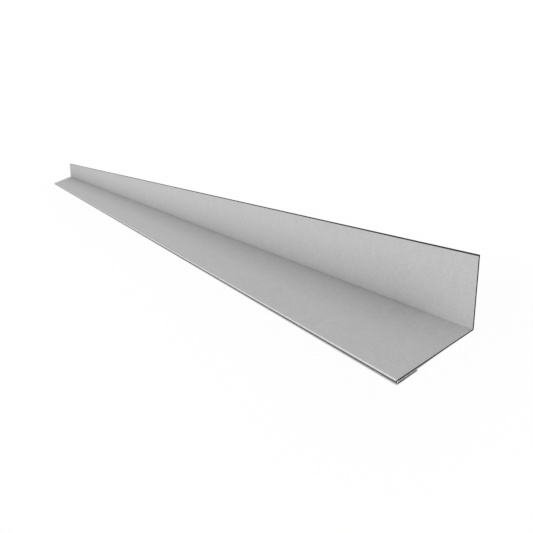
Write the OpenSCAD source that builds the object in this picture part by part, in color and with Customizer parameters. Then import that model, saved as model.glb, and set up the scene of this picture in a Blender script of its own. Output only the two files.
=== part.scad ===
// Brick ledge flashing: one length of bent sheet metal that carries water off a brick ledge.
// A back flange stands against the wall, a ledge leg slopes out over the bricks, and its
// front edge is folded back under itself in an open hem. The piece lies here as it rests on
// a level floor, on its heel and on the free edge of its hem, with its length along X.

/* [Sheet] */
// Thickness of the sheet
sheet_thickness = 0.7; // [0.4:0.05:1.6]
// Length of the piece
piece_length = 3048; // [300:1:3660]

/* [Back flange] */
// Height of the back flange, from the outside corner of the heel to its top edge
flange_height = 76.2; // [25:0.1:200]

/* [Ledge leg] */
// Depth of the ledge leg, from the outside corner of the heel to the front of the hem
ledge_depth = 101.6; // [60:0.1:300]

/* [Heel bend] */
// Angle between the back flange and the ledge leg
heel_angle = 111; // [95:1:150]
// Inside radius of the heel bend
heel_inside_radius = 1; // [0.5:0.1:6]

/* [Front hem] */
// Depth of the hem, from the front of the fold to its free edge
hem_depth = 25.4; // [10:0.1:40]
// Clear gap inside the open hem
hem_gap = 1.8; // [0.4:0.1:6]

/* [Hidden] */
sheet_colour = [0.76, 0.76, 0.76];
$fn = 120;

// The heel turns the sheet by this much, and its outside corner lies this far past each flat
heel_turn = 180 - heel_angle;
heel_outside_radius = heel_inside_radius + sheet_thickness;
heel_setback = heel_outside_radius * tan(heel_turn / 2);

// The hem's fold
fold_turn = 180;
fold_inside_radius = hem_gap / 2;
fold_outside_radius = fold_inside_radius + sheet_thickness;

// The flat stretches between the bends
flange_flat = flange_height - heel_setback;
ledge_flat = ledge_depth - heel_setback - fold_outside_radius;
hem_flat = hem_depth - fold_outside_radius;

// The hem's free edge, seen from the centre of the heel bend: how far along the leg, how far below
hem_edge_along = ledge_flat - hem_flat;
hem_edge_below = heel_inside_radius + 2 * fold_outside_radius;

// At rest the leg rises towards the front by the angle at which heel and hem edge touch the floor
rest_tilt = atan2(hem_edge_below, hem_edge_along)
    - asin(heel_outside_radius / norm([hem_edge_along, hem_edge_below]));

// How far the resting section reaches to the back and to the front of the heel bend's centre
flange_rise = heel_turn - rest_tilt;
back_reach = flange_flat * cos(flange_rise) + heel_outside_radius * sin(flange_rise);
front_reach = ledge_flat * cos(rest_tilt)
    + (heel_inside_radius + fold_outside_radius) * sin(rest_tilt) + fold_outside_radius;

// A flat stretch of the sheet, one thickness deep, that runs from the Y axis along X
module flat_stretch(run) {
    square([run, sheet_thickness]);
}

// A half plane above the X axis, wide enough to cut a bend of the given radius
module half_plane(radius) {
    translate([-2 * radius, 0])
        square([4 * radius, 2 * radius]);
}

// A bent stretch of the sheet about the origin, from the X axis round through the turn
module bend(inside_radius, turn) {
    outside_radius = inside_radius + sheet_thickness;
    intersection() {
        difference() {
            circle(outside_radius);
            circle(inside_radius);
        }
        half_plane(outside_radius);
        rotate(turn - 180)
            half_plane(outside_radius);
    }
}

// The section with its ledge leg level and the centre of the heel bend at the origin
module section() {
    // Heel bend
    rotate(-90)
        bend(heel_inside_radius, heel_turn);
    // Back flange
    rotate(heel_turn)
        translate([0, -heel_outside_radius])
            flat_stretch(flange_flat);
    // Ledge leg
    translate([-ledge_flat, -heel_outside_radius])
        flat_stretch(ledge_flat);
    // Open hem: the fold, then the return that lies back under the leg
    translate([-ledge_flat, -heel_inside_radius - fold_outside_radius]) {
        rotate(90)
            bend(fold_inside_radius, fold_turn);
        translate([0, -fold_outside_radius])
            flat_stretch(hem_flat);
    }
}

// The section at rest: both contact lines on the floor, the middle of its width over the origin
module resting_section() {
    translate([(front_reach - back_reach) / 2, heel_outside_radius])
        rotate(-rest_tilt)
            section();
}

// The whole piece, the section drawn out along X and centred on the origin
module ledge_flashing() {
    color(sheet_colour)
        rotate([90, 0, 90])
            linear_extrude(piece_length, center = true)
                resting_section();
}

ledge_flashing();
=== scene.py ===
# Brick ledge flashing: a ten foot length of bent galvanised sheet, resting on a pale floor.
import math

import bpy
from mathutils import Matrix, Vector


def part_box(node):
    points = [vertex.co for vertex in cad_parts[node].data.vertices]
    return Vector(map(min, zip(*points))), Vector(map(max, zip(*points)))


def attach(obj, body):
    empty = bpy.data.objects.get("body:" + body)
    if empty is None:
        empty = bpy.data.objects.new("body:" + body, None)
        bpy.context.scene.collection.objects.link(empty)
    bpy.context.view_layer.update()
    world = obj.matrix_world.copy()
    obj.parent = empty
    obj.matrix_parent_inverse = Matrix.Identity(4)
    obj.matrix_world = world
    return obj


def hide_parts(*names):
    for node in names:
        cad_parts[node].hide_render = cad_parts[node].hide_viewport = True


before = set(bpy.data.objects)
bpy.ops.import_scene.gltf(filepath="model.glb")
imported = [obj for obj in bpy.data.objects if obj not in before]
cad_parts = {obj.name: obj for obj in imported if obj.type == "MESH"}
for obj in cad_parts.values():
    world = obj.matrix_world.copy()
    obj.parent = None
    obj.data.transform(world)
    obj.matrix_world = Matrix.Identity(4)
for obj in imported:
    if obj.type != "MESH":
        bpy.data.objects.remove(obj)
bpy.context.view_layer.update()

MM = 0.001
SHEET_NODE = "ledge_flashing"
sheet_low, sheet_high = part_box(SHEET_NODE)

# Sizes of the bent sheet, in metres
LENGTH = sheet_high.x - sheet_low.x
SHEET = 0.7 * MM
FLANGE_HEIGHT = 76.2 * MM
LEDGE_DEPTH = 101.6 * MM
HEM_DEPTH = 25.4 * MM
HEM_GAP = 1.8 * MM
HEEL_ANGLE = math.radians(111)
HEEL_RADIUS = 1.0 * MM
SHEARED_RADIUS = 0.12 * MM

# How finely the sheet is drawn, and which of its edges stay sharp
STEPS_ALONG = 121
STEPS_IN_A_BEND = 14
WELD_DISTANCE = 0.002 * MM
SHARP_ANGLE = math.radians(35)

# What follows from the sizes: the two bends and the flat stretches between
HEEL_TURN = math.pi - HEEL_ANGLE
HEEL_OUTSIDE = HEEL_RADIUS + SHEET
HEEL_SLANT = math.tan(HEEL_TURN / 2)
HEEL_SETBACK = HEEL_OUTSIDE * HEEL_SLANT
FOLD_INSIDE = HEM_GAP / 2
FOLD_OUTSIDE = FOLD_INSIDE + SHEET
FLANGE_FLAT = FLANGE_HEIGHT - HEEL_SETBACK
LEDGE_FLAT = LEDGE_DEPTH - HEEL_SETBACK - FOLD_OUTSIDE
HEM_FLAT = HEM_DEPTH - FOLD_OUTSIDE

# At rest the heel and the free edge of the hem touch the floor
HEM_EDGE_ALONG = LEDGE_FLAT - HEM_FLAT
HEM_EDGE_BELOW = HEEL_RADIUS + 2 * FOLD_OUTSIDE
REST_TILT = math.atan2(HEM_EDGE_BELOW, HEM_EDGE_ALONG) - math.asin(
    HEEL_OUTSIDE / math.hypot(HEM_EDGE_ALONG, HEM_EDGE_BELOW)
)

# The slope of the ledge leg when the flange stands upright on the wall
INSTALLED_SLOPE = HEEL_ANGLE - math.pi / 2


def along_flange(run, depth):
    """A point of the section on the flange: so far up it, so far out from the heel's centre."""
    turn = Matrix.Rotation(HEEL_TURN, 2)
    return turn @ Vector((run, -depth))


def heel_centre():
    """Where the heel bend's centre lies at rest, in Y and Z: the flange's top is furthest back."""
    rise = HEEL_TURN - REST_TILT
    back_reach = FLANGE_FLAT * math.cos(rise) + HEEL_OUTSIDE * math.sin(rise)
    return Vector((sheet_high.y - back_reach, sheet_low.z + HEEL_OUTSIDE))


def at_rest(point):
    """A point of the section, drawn with the ledge leg level, in the resting piece's Y and Z."""
    turned = Matrix.Rotation(-REST_TILT, 2) @ Vector(point)
    return turned + HEEL_CENTRE


HEEL_CENTRE = heel_centre()
FOLD_CENTRE_LEVEL = Vector((-LEDGE_FLAT, -HEEL_RADIUS - FOLD_OUTSIDE))


def section_corners():
    """The outline of the section as sharp corners, each with the radius that rounds it."""
    front_out = FOLD_CENTRE_LEVEL.x - FOLD_OUTSIDE
    front_in = FOLD_CENTRE_LEVEL.x - FOLD_INSIDE
    hem_back = FOLD_CENTRE_LEVEL.x + HEM_FLAT
    hem_top = FOLD_CENTRE_LEVEL.y - FOLD_INSIDE
    hem_under = FOLD_CENTRE_LEVEL.y - FOLD_OUTSIDE
    return [
        (along_flange(FLANGE_FLAT, HEEL_OUTSIDE), SHEARED_RADIUS),
        (along_flange(FLANGE_FLAT, HEEL_RADIUS), SHEARED_RADIUS),
        (Vector((HEEL_RADIUS * HEEL_SLANT, -HEEL_RADIUS)), HEEL_RADIUS),
        (Vector((front_out, -HEEL_RADIUS)), FOLD_OUTSIDE),
        (Vector((front_out, hem_under)), FOLD_OUTSIDE),
        (Vector((hem_back, hem_under)), SHEARED_RADIUS),
        (Vector((hem_back, hem_top)), SHEARED_RADIUS),
        (Vector((front_in, hem_top)), FOLD_INSIDE),
        (Vector((front_in, -HEEL_OUTSIDE)), FOLD_INSIDE),
        (Vector((HEEL_OUTSIDE * HEEL_SLANT, -HEEL_OUTSIDE)), HEEL_OUTSIDE),
    ]


def placed(name, data):
    """A new object in the scene that shows the given data."""
    thing = bpy.data.objects.new(name, data)
    bpy.context.scene.collection.objects.link(thing)
    return thing


def section_outline():
    """The section's sharp outline as a closed curve, with each corner's radius on its point."""
    curve = bpy.data.curves.new("section_outline", "CURVE")
    curve.dimensions = "3D"
    spline = curve.splines.new("POLY")
    corners = section_corners()
    spline.points.add(len(corners) - 1)
    for point, (place, radius) in zip(spline.points, corners):
        y, z = at_rest(place)
        point.co = (y, z, 0, 1)
        point.radius = radius
    spline.use_cyclic_u = True
    return placed("section_outline", curve)


def join(tree, value, socket):
    """Links an output to a socket, or writes a plain value on it."""
    if isinstance(value, bpy.types.NodeSocket):
        tree.links.new(value, socket)
    elif value is not None:
        socket.default_value = value


def sum_up(tree, operation, first, second=None, third=None, clamp=False):
    """One step of arithmetic on numbers."""
    step = tree.nodes.new("ShaderNodeMath")
    step.operation = operation
    step.use_clamp = clamp
    for value, socket in zip((first, second, third), step.inputs):
        join(tree, value, socket)
    return step.outputs["Value"]


def bend_and_draw_tree():
    """Rounds the section's corners by their own radii, then draws the section out along X."""
    tree = bpy.data.node_groups.new("bend_and_draw", "GeometryNodeTree")
    for name, kind in (
        ("Section", "NodeSocketGeometry"),
        ("Length", "NodeSocketFloat"),
        ("Steps Along", "NodeSocketInt"),
        ("Steps In A Bend", "NodeSocketInt"),
        ("Finish", "NodeSocketMaterial"),
    ):
        tree.interface.new_socket(name, in_out="INPUT", socket_type=kind)
    tree.interface.new_socket("Sheet", in_out="OUTPUT", socket_type="NodeSocketGeometry")
    sizes = tree.nodes.new("NodeGroupInput").outputs

    radius = tree.nodes.new("GeometryNodeInputRadius")
    bend = tree.nodes.new("GeometryNodeFilletCurve")
    bend.mode = "POLY"
    join(tree, sizes["Section"], bend.inputs["Curve"])
    join(tree, sizes["Steps In A Bend"], bend.inputs["Count"])
    join(tree, radius.outputs["Radius"], bend.inputs["Radius"])
    upright = tree.nodes.new("GeometryNodeTransform")
    upright.inputs["Rotation"].default_value = (0, 0, math.pi)
    join(tree, bend.outputs["Curve"], upright.inputs["Geometry"])

    line = tree.nodes.new("GeometryNodeCurvePrimitiveLine")
    for end, share in (("Start", -0.5), ("End", 0.5)):
        place = tree.nodes.new("ShaderNodeCombineXYZ")
        join(tree, sum_up(tree, "MULTIPLY", sizes["Length"], share), place.inputs["X"])
        join(tree, place.outputs["Vector"], line.inputs[end])
    steps = tree.nodes.new("GeometryNodeResampleCurve")
    join(tree, line.outputs["Curve"], steps.inputs["Curve"])
    join(tree, sizes["Steps Along"], steps.inputs["Count"])
    draw = tree.nodes.new("GeometryNodeCurveToMesh")
    draw.inputs["Fill Caps"].default_value = True
    join(tree, steps.outputs["Curve"], draw.inputs["Curve"])
    join(tree, upright.outputs["Geometry"], draw.inputs["Profile Curve"])

    weld = tree.nodes.new("GeometryNodeMergeByDistance")
    weld.inputs["Distance"].default_value = WELD_DISTANCE
    join(tree, draw.outputs["Mesh"], weld.inputs["Geometry"])
    realize = tree.nodes.new("GeometryNodeRealizeInstances")
    join(tree, weld.outputs["Geometry"], realize.inputs["Geometry"])
    finish = tree.nodes.new("GeometryNodeSetMaterial")
    join(tree, realize.outputs["Geometry"], finish.inputs["Geometry"])
    join(tree, sizes["Finish"], finish.inputs["Material"])
    result = tree.nodes.new("NodeGroupOutput")
    join(tree, finish.outputs["Geometry"], result.inputs["Sheet"])
    return tree


def set_inputs(modifier, values):
    """Sets a geometry modifier's inputs, given by their names."""
    sockets = modifier.node_group.interface.items_tree
    for name, value in values.items():
        modifier[next(s.identifier for s in sockets if s.name == name)] = value


def as_mesh(thing):
    """A plain mesh of the object as its modifiers leave it."""
    graph = bpy.context.evaluated_depsgraph_get()
    return bpy.data.meshes.new_from_object(thing.evaluated_get(graph), depsgraph=graph)


def true_flats(sheet):
    """Keeps the shading of the wide flats flat, so that only the bends turn the light."""
    flats = sheet.modifiers.new("true_flats", "WEIGHTED_NORMAL")
    flats.keep_sharp = True
    mesh = as_mesh(sheet)
    sheet.modifiers.remove(flats)
    sheet.data = mesh
    mesh.name = "bent_sheet"


def bent_sheet(finish):
    """The whole piece as one closed mesh: the rounded section drawn out to its length."""
    outline = section_outline()
    draw = outline.modifiers.new("bend_and_draw", "NODES")
    draw.node_group = bend_and_draw_tree()
    set_inputs(draw, {
        "Length": LENGTH,
        "Steps Along": STEPS_ALONG,
        "Steps In A Bend": STEPS_IN_A_BEND,
        "Finish": finish,
    })
    mesh = as_mesh(outline)
    bpy.data.objects.remove(outline)
    mesh.shade_smooth()
    mesh.set_sharp_from_angle(angle=SHARP_ANGLE)
    sheet = placed("bent_sheet", mesh)
    true_flats(sheet)
    return sheet


def new_material(name):
    """A material whose node tree is still empty."""
    material = bpy.data.materials.new(name)
    material.use_nodes = True
    material.node_tree.nodes.clear()
    return material


def vector_step(tree, operation, first, second=None):
    """One step of arithmetic on places."""
    step = tree.nodes.new("ShaderNodeVectorMath")
    step.operation = operation
    join(tree, first, step.inputs[0])
    join(tree, second, step.inputs[1])
    return step.outputs["Value" if operation == "LENGTH" else "Vector"]


def three_ways(tree, place):
    """The X, Y and Z of a place."""
    parts = tree.nodes.new("ShaderNodeSeparateXYZ")
    join(tree, place, parts.inputs["Vector"])
    return parts.outputs


def fade(tree, value, start, end):
    """1 at the start distance or nearer, falling smoothly to 0 at the end distance."""
    ramp = tree.nodes.new("ShaderNodeMapRange")
    ramp.interpolation_type = "SMOOTHSTEP"
    join(tree, value, ramp.inputs["Value"])
    ramp.inputs["From Min"].default_value = start
    ramp.inputs["From Max"].default_value = end
    ramp.inputs["To Min"].default_value = 1
    ramp.inputs["To Max"].default_value = 0
    return ramp.outputs["Result"]


def from_line(tree, across, line):
    """Distance from a line that runs the length of the piece through a point of the section."""
    return vector_step(tree, "LENGTH", vector_step(tree, "SUBTRACT", across, (0, line.x, line.y)))


def noise(tree, place, scale, detail):
    """Soft random variation between 0 and 1."""
    texture = tree.nodes.new("ShaderNodeTexNoise")
    join(tree, place, texture.inputs["Vector"])
    texture.inputs["Scale"].default_value = scale
    texture.inputs["Detail"].default_value = detail
    return texture.outputs["Fac"]


def about_one(tree, value, swing):
    """Turns variation between 0 and 1 into a factor that swings evenly about 1."""
    return sum_up(tree, "MULTIPLY_ADD", value, swing, 1 - swing / 2)


def scaled(tree, tone, share, change):
    """The tone, changed by the given part of itself where the share is 1."""
    return sum_up(tree, "MULTIPLY", tone, sum_up(tree, "MULTIPLY_ADD", share, change, 1))


def blend_tones(tree, share, without, full):
    """One number where the share is 0 and another where it is 1."""
    blend = tree.nodes.new("ShaderNodeMix")
    blend.data_type = "FLOAT"
    join(tree, share, blend.inputs["Factor"])
    join(tree, without, blend.inputs["A"])
    join(tree, full, blend.inputs["B"])
    return blend.outputs["Result"]


def send_out(tree, surface, kind="ShaderNodeOutputMaterial"):
    """Makes a shader the result of its tree."""
    output = tree.nodes.new(kind)
    join(tree, surface, output.inputs["Surface"])


# Lines of the section that the finish follows, in the resting piece's Y and Z
HEEL_LINE = at_rest((0, -HEEL_RADIUS))
FOLD_LINE = at_rest(FOLD_CENTRE_LEVEL)
FLANGE_EDGE_LINE = at_rest(along_flange(FLANGE_FLAT, HEEL_RADIUS + SHEET / 2))
HEM_EDGE_LEVEL = FOLD_CENTRE_LEVEL + Vector((HEM_FLAT, -FOLD_INSIDE - SHEET / 2))
HEM_EDGE_LINE = at_rest(HEM_EDGE_LEVEL)

# Tone of the zinc and of the cut edges
ZINC = 0.53
CUT_EDGE = 0.03

# Painted shade along the heel's crease, which eases towards the two open ends
HEEL_PAINTED_SHADE = 0.42
HEEL_SHADE_REACH = 56 * MM
HEEL_SHADE_FALL = 0.37
OPEN_END = 115 * MM
OPEN_END_SHARE = 0.68

# The front fold has a painted highlight on top and painted shade below, and painted light brightens
# the zinc inside the hem
FOLD_PAINTED_HIGHLIGHT = 0.45
FOLD_HIGHLIGHT_REACH = 0.3 * MM
UNDER_FOLD_PAINTED_SHADE = 0.92
UNDER_FOLD_SHADE_TOP = FOLD_OUTSIDE / 3
HEM_INSIDE_PAINTED_LIGHT = 0.75
HEM_SKIN = SHEET / 5

# How far the shears leave the zinc dark beside a cut edge: less inside the hem and at the two ends
EDGE_DARK = 1.0 * MM
EDGE_FADE = 1.6 * MM
EDGE_SOONER_IN_HEM = 6
END_SOONER = 1.7

# Fine variation, in cells to the metre, and how far each makes the tone swing
GRAIN_SCALE = 420
GRAIN_DETAIL = 5
GRAIN_SWING = 0.24
CLOUD_SCALE = 45
CLOUD_DETAIL = 3
CLOUD_SWING = 0.05
SPANGLE_SCALE = 130
SPANGLE_SWING = 0.045

# Sheen and relief
METAL = 0.15
SHEEN_LEVEL = 0.05
ROUGH = 0.62
CLOUD_ROUGH = 0.1
SPANGLE_ROUGH = 0.08
GRAIN_RELIEF = 0.2 * MM
GRAIN_RELIEF_STRENGTH = 0.15


def edge_share(tree, place, across, inside):
    """1 on the sheared edges, falling to 0 beside them, and sooner inside the hem and at the ends."""
    from_middle = sum_up(tree, "ABSOLUTE", three_ways(tree, place)["X"])
    from_end = sum_up(tree, "SUBTRACT", LENGTH / 2, from_middle)
    nearest = sum_up(tree, "MULTIPLY", from_end, END_SOONER)
    for line in (FLANGE_EDGE_LINE, HEM_EDGE_LINE):
        beside = sum_up(tree, "SUBTRACT", from_line(tree, across, line), SHEET / 2)
        nearest = sum_up(tree, "MINIMUM", nearest, beside)
    return fade(tree, scaled(tree, nearest, inside, EDGE_SOONER_IN_HEM), EDGE_DARK, EDGE_FADE)


def heel_painted_shade_share(tree, place, across):
    """Where the heel's painted shade falls: 1 in the heel, falling fast and then slowly away from it,
    and less near the open ends.
    """
    far = sum_up(tree, "DIVIDE", from_line(tree, across, HEEL_LINE), HEEL_SHADE_REACH, clamp=True)
    share = sum_up(tree, "SUBTRACT", 1, sum_up(tree, "POWER", far, HEEL_SHADE_FALL))
    from_middle = sum_up(tree, "ABSOLUTE", three_ways(tree, place)["X"])
    by_end = fade(tree, from_middle, LENGTH / 2, LENGTH / 2 - OPEN_END)
    return scaled(tree, share, by_end, -OPEN_END_SHARE)


def hem_shares(tree, place):
    """Where the surface is inside the hem, which gets painted light, and where it is on the lower
    outside of the fold, which gets painted shade.
    """
    level = tree.nodes.new("ShaderNodeMapping")
    level.vector_type = "TEXTURE"
    join(tree, place, level.inputs["Vector"])
    level.inputs["Location"].default_value = (0, HEEL_CENTRE.x, HEEL_CENTRE.y)
    level.inputs["Rotation"].default_value = (-REST_TILT, 0, 0)
    parts = three_ways(tree, level.outputs["Vector"])
    out, up = parts["Y"], parts["Z"]
    off_middle = sum_up(tree, "ABSOLUTE", sum_up(tree, "SUBTRACT", up, FOLD_CENTRE_LEVEL.y))
    in_gap = sum_up(tree, "LESS_THAN", off_middle, FOLD_INSIDE + HEM_SKIN)
    fold_wall = FOLD_CENTRE_LEVEL.x - FOLD_INSIDE - HEM_SKIN
    behind_fold = sum_up(tree, "GREATER_THAN", out, fold_wall)
    over_return = sum_up(tree, "LESS_THAN", out, HEM_EDGE_LEVEL.x)
    inside = sum_up(tree, "MULTIPLY", in_gap, sum_up(tree, "MULTIPLY", behind_fold, over_return))
    # Painted shade on the lower outside of the fold, from a little above its middle downwards
    painted_shade_top = FOLD_CENTRE_LEVEL.y + UNDER_FOLD_SHADE_TOP
    low = fade(tree, up, painted_shade_top, FOLD_CENTRE_LEVEL.y + FOLD_OUTSIDE)
    front = fade(tree, out, FOLD_CENTRE_LEVEL.x, FOLD_CENTRE_LEVEL.x + FOLD_OUTSIDE)
    under = sum_up(tree, "MULTIPLY", low, front)
    return inside, sum_up(tree, "MULTIPLY", under, sum_up(tree, "SUBTRACT", 1, inside))


def galvanised_sheet():
    """Dull zinc with a fine grain, faint spangle and dark sheared edges; painted shade in the heel
    and under the fold, a painted highlight on the fold and painted light inside the hem.
    """
    material = new_material("galvanised_sheet")
    tree = material.node_tree
    place = tree.nodes.new("ShaderNodeTexCoord").outputs["Object"]
    across = vector_step(tree, "MULTIPLY", place, (0, 1, 1))
    # Masks for the painted light inside the hem and the painted shade under the fold
    inside, under = hem_shares(tree, place)
    edge = edge_share(tree, place, across, inside)
    # Where the painted highlight lies, over the outside of the front fold
    fold = fade(tree, from_line(tree, across, FOLD_LINE), FOLD_OUTSIDE, FOLD_OUTSIDE + FOLD_HIGHLIGHT_REACH)

    grain = noise(tree, place, GRAIN_SCALE, GRAIN_DETAIL)
    cloud = noise(tree, place, CLOUD_SCALE, CLOUD_DETAIL)
    cells = tree.nodes.new("ShaderNodeTexVoronoi")
    join(tree, place, cells.inputs["Vector"])
    cells.inputs["Scale"].default_value = SPANGLE_SCALE
    facets = tree.nodes.new("ShaderNodeSeparateColor")
    join(tree, cells.outputs["Color"], facets.inputs["Color"])
    spangle = facets.outputs["Red"]

    tone = sum_up(tree, "MULTIPLY", about_one(tree, grain, GRAIN_SWING), ZINC)
    tone = sum_up(tree, "MULTIPLY", tone, about_one(tree, cloud, CLOUD_SWING))
    tone = sum_up(tree, "MULTIPLY", tone, about_one(tree, spangle, SPANGLE_SWING))
    # Painted shade in the heel's crease
    tone = scaled(tree, tone, heel_painted_shade_share(tree, place, across), -HEEL_PAINTED_SHADE)
    # Painted highlight on the front fold
    tone = scaled(tree, tone, fold, FOLD_PAINTED_HIGHLIGHT)
    # Painted shade on the lower outside of the front fold
    tone = scaled(tree, tone, under, -UNDER_FOLD_PAINTED_SHADE)
    # Painted light inside the hem's slot
    tone = scaled(tree, tone, inside, HEM_INSIDE_PAINTED_LIGHT)
    tone = blend_tones(tree, edge, tone, CUT_EDGE)
    colour = tree.nodes.new("ShaderNodeCombineColor")
    for socket in colour.inputs:
        join(tree, tone, socket)

    shader = tree.nodes.new("ShaderNodeBsdfPrincipled")
    join(tree, colour.outputs["Color"], shader.inputs["Base Color"])
    shader.inputs["Metallic"].default_value = METAL
    shader.inputs["Specular IOR Level"].default_value = SHEEN_LEVEL
    rough = sum_up(tree, "MULTIPLY_ADD", cloud, CLOUD_ROUGH, ROUGH)
    rough = sum_up(tree, "MULTIPLY_ADD", spangle, SPANGLE_ROUGH, rough)
    join(tree, rough, shader.inputs["Roughness"])
    bump = tree.nodes.new("ShaderNodeBump")
    bump.inputs["Strength"].default_value = GRAIN_RELIEF_STRENGTH
    bump.inputs["Distance"].default_value = GRAIN_RELIEF
    join(tree, grain, bump.inputs["Height"])
    join(tree, bump.outputs["Normal"], shader.inputs["Normal"])
    send_out(tree, shader.outputs["BSDF"])
    return material


# The floor, and the shade that it keeps under and beside the piece: less under the leg's open ends
FLOOR_SIZE = 40
FLOOR_TONE = 0.86
CONTACT_SHADE = 0.8
CONTACT_REACH = 1.7 * MM
CONTACT_SHORT = 2.2 * MM
HEM_CONTACT_REACH = 1.2 * MM
SOFT_SHADE = 0.05
SOFT_REACH = 200 * MM

# The light: white all round and two large soft lamps, in metres and watts
WHITE = (1, 1, 1, 1)
ROOM_LIGHT = 0.66
LAMP_WIDTH = 4.0
LAMP_HEIGHT = 2.0
FRONT_PLACE = (0.5, -3.0, 1.6)
FRONT_POWER = 52
BACK_PLACE = (-0.5, 3.0, 2.0)
BACK_POWER = 14


def seen_straight(tree):
    """1 for what the camera sees, also in gloss and through glass, and 0 for light that spreads."""
    seen = tree.nodes.new("ShaderNodeLightPath").outputs
    mirrored = sum_up(tree, "MAXIMUM", seen["Is Glossy Ray"], seen["Is Transmission Ray"])
    return sum_up(tree, "MAXIMUM", seen["Is Camera Ray"], mirrored)


def off_strip(tree, place, back, half_length):
    """How far a place on the floor lies outside the strip from the front fold back to a line."""
    front = sheet_low.y
    from_middle = vector_step(tree, "SUBTRACT", place, (0, (front + back) / 2, 0))
    from_middle = vector_step(tree, "ABSOLUTE", from_middle)
    beyond = vector_step(tree, "SUBTRACT", from_middle, (half_length, (back - front) / 2, 0))
    return vector_step(tree, "LENGTH", vector_step(tree, "MAXIMUM", beyond, (0, 0, 0)))


def shade_share(tree):
    """How much of its shade the floor keeps: all under the hem, most under the leg, none far off."""
    place = tree.nodes.new("ShaderNodeTexCoord").outputs["Object"]
    off_leg = off_strip(tree, place, HEEL_CENTRE.x + HEEL_OUTSIDE, LENGTH / 2 - CONTACT_SHORT)
    off_hem = off_strip(tree, place, HEM_EDGE_LINE.x, LENGTH / 2)
    by_leg = sum_up(tree, "MULTIPLY", fade(tree, off_leg, 0, CONTACT_REACH), CONTACT_SHADE)
    close_by = sum_up(tree, "MAXIMUM", by_leg, fade(tree, off_hem, 0, HEM_CONTACT_REACH))
    return sum_up(tree, "MULTIPLY_ADD", fade(tree, off_leg, 0, SOFT_REACH), SOFT_SHADE, close_by)


def floor():
    """A pale floor that looks plain white, apart from the shade that it keeps by the piece."""
    material = new_material("pale_floor")
    tree = material.node_tree
    lit = sum_up(tree, "SUBTRACT", 1, shade_share(tree), clamp=True)
    share = sum_up(tree, "MULTIPLY", lit, seen_straight(tree))
    matte = tree.nodes.new("ShaderNodeBsdfDiffuse")
    matte.inputs["Color"].default_value = (FLOOR_TONE, FLOOR_TONE, FLOOR_TONE, 1)
    plain = tree.nodes.new("ShaderNodeEmission")
    plain.inputs["Color"].default_value = WHITE
    plain.inputs["Strength"].default_value = 1
    mix = tree.nodes.new("ShaderNodeMixShader")
    for value, socket in zip((share, matte.outputs["BSDF"], plain.outputs["Emission"]), mix.inputs):
        join(tree, value, socket)
    send_out(tree, mix.outputs["Shader"])
    half = FLOOR_SIZE / 2
    mesh = bpy.data.meshes.new("floor")
    corners = [(-half, -half, 0), (half, -half, 0), (half, half, 0), (-half, half, 0)]
    mesh.from_pydata(corners, [], [(0, 1, 2, 3)])
    mesh.materials.append(material)
    placed("floor", mesh)


def room():
    """White walls to look at, and an even soft light from all round."""
    world = bpy.data.worlds.new("room")
    bpy.context.scene.world = world
    world.use_nodes = True
    tree = world.node_tree
    tree.nodes.clear()
    light = tree.nodes.new("ShaderNodeBackground")
    light.inputs["Color"].default_value = WHITE
    strength = sum_up(tree, "MULTIPLY_ADD", seen_straight(tree), 1 - ROOM_LIGHT, ROOM_LIGHT)
    join(tree, strength, light.inputs["Strength"])
    send_out(tree, light.outputs["Background"], "ShaderNodeOutputWorld")


def soft_lamp(name, place, power):
    """A large lamp that looks at the middle of the piece."""
    lamp = bpy.data.lights.new(name, "AREA")
    lamp.shape = "RECTANGLE"
    lamp.size = LAMP_WIDTH
    lamp.size_y = LAMP_HEIGHT
    lamp.energy = power
    holder = placed(name, lamp)
    holder.location = place
    holder.rotation_euler = (-Vector(place)).to_track_quat("-Z", "Y").to_euler()


# The camera stands by the near end, placed as for the installed piece, from its heel's corner
EYE_FROM_HEEL = Vector((369.9, -413.3, 178.7)) * MM
EYE_YAW = math.radians(63.578)
EYE_PITCH = math.radians(-12.511)
FRAME_WIDTH = 533
FOCAL_PIXELS = 545.36
CLIP_START = 10 * MM


def camera():
    """The view of the installed piece, turned with the piece into its resting position."""
    lens = bpy.data.cameras.new("camera")
    lens.lens = FOCAL_PIXELS / FRAME_WIDTH * lens.sensor_width
    lens.clip_start = CLIP_START
    eye = placed("camera", lens)
    middle_radius = HEEL_RADIUS + SHEET / 2
    heel_corner = at_rest((middle_radius * HEEL_SLANT, -middle_radius))
    near_heel = Vector((sheet_high.x, heel_corner.x, heel_corner.y))
    laid_down = Matrix.Rotation(-INSTALLED_SLOPE - REST_TILT, 4, "X")
    look = Matrix.Rotation(EYE_YAW, 4, "Z") @ Matrix.Rotation(math.pi / 2 + EYE_PITCH, 4, "X")
    eye.matrix_world = (
        Matrix.Translation(near_heel) @ laid_down @ Matrix.Translation(EYE_FROM_HEEL) @ look
    )
    bpy.context.scene.camera = eye


camera()
sheet = bent_sheet(galvanised_sheet())
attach(sheet, "root")
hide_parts(SHEET_NODE)

floor()
room()
soft_lamp("front_lamp", FRONT_PLACE, FRONT_POWER)
soft_lamp("back_lamp", BACK_PLACE, BACK_POWER)

bpy.context.scene.view_settings.view_transform = "Standard"
